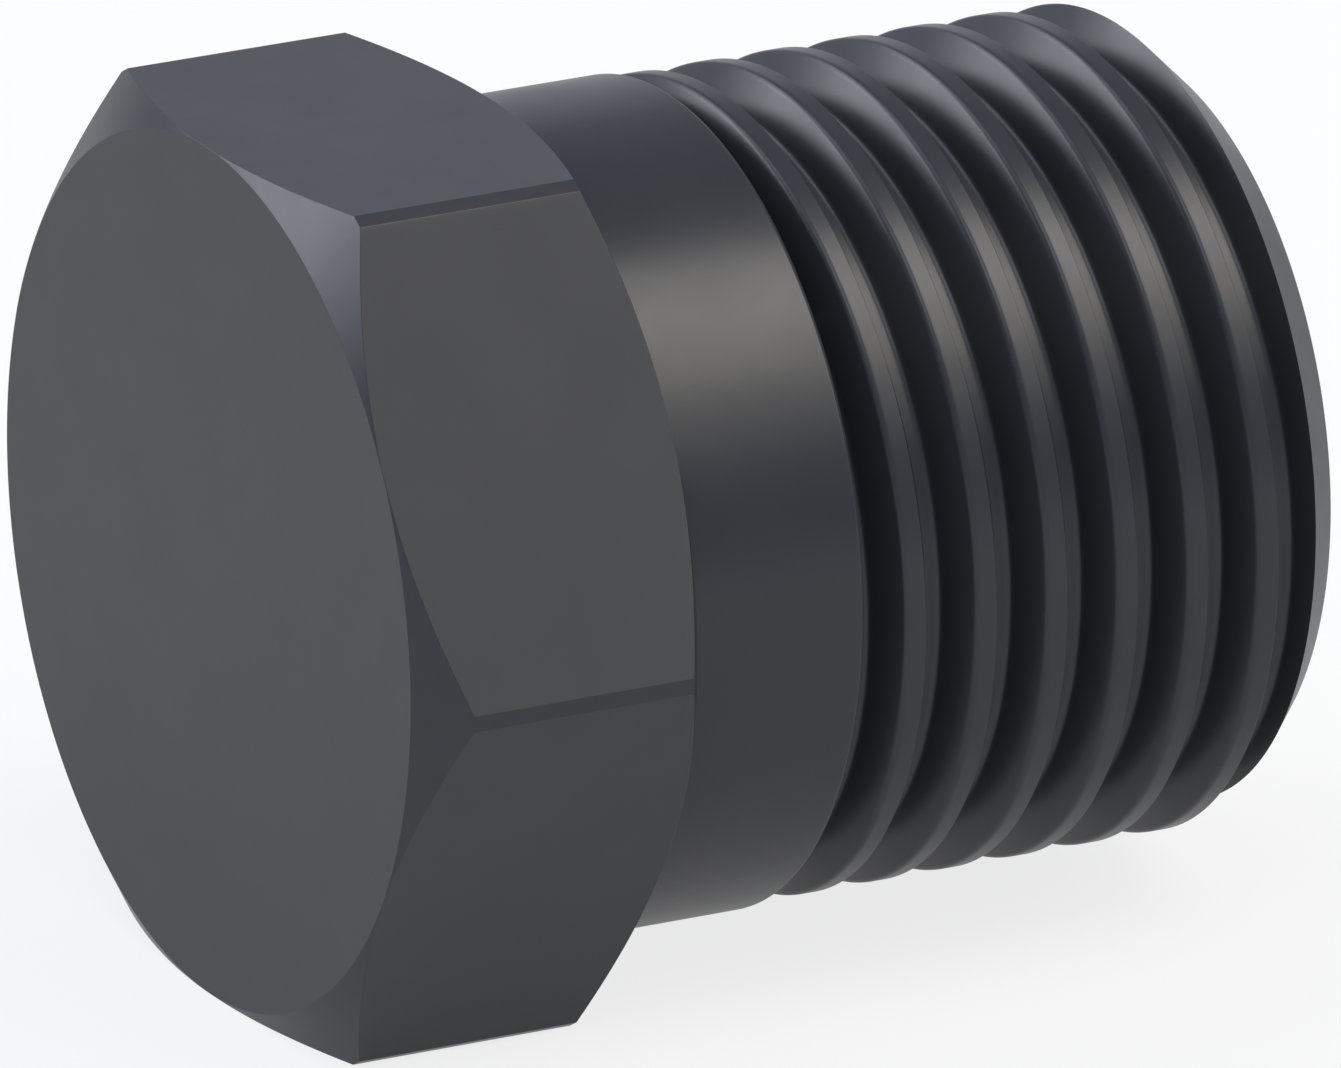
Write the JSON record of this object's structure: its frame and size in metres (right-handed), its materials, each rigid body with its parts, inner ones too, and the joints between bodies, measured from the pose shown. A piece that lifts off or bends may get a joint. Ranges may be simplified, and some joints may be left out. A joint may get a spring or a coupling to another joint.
{
  "type": "blanking plug",
  "caption": "Screw-in blanking plug with a chamfered hexagon head, a plain neck and a fine right-hand male thread with a chamfered point, for closing a tapped port.",
  "frame": {"origin": "on the plug's axis, in the plane of the head's underside, where the plain neck starts", "axes": "+X along the axis from the head towards the thread's point, +Z square to one flat of the hexagon, so that the opposite flat faces straight down"},
  "size_m": [0.0203, 0.0192, 0.0168],
  "materials": {
    "blackened_steel": "satin"
  },
  "bodies": {
    "root": {"plug": "blackened_steel"}
  },
  "joints": []
}
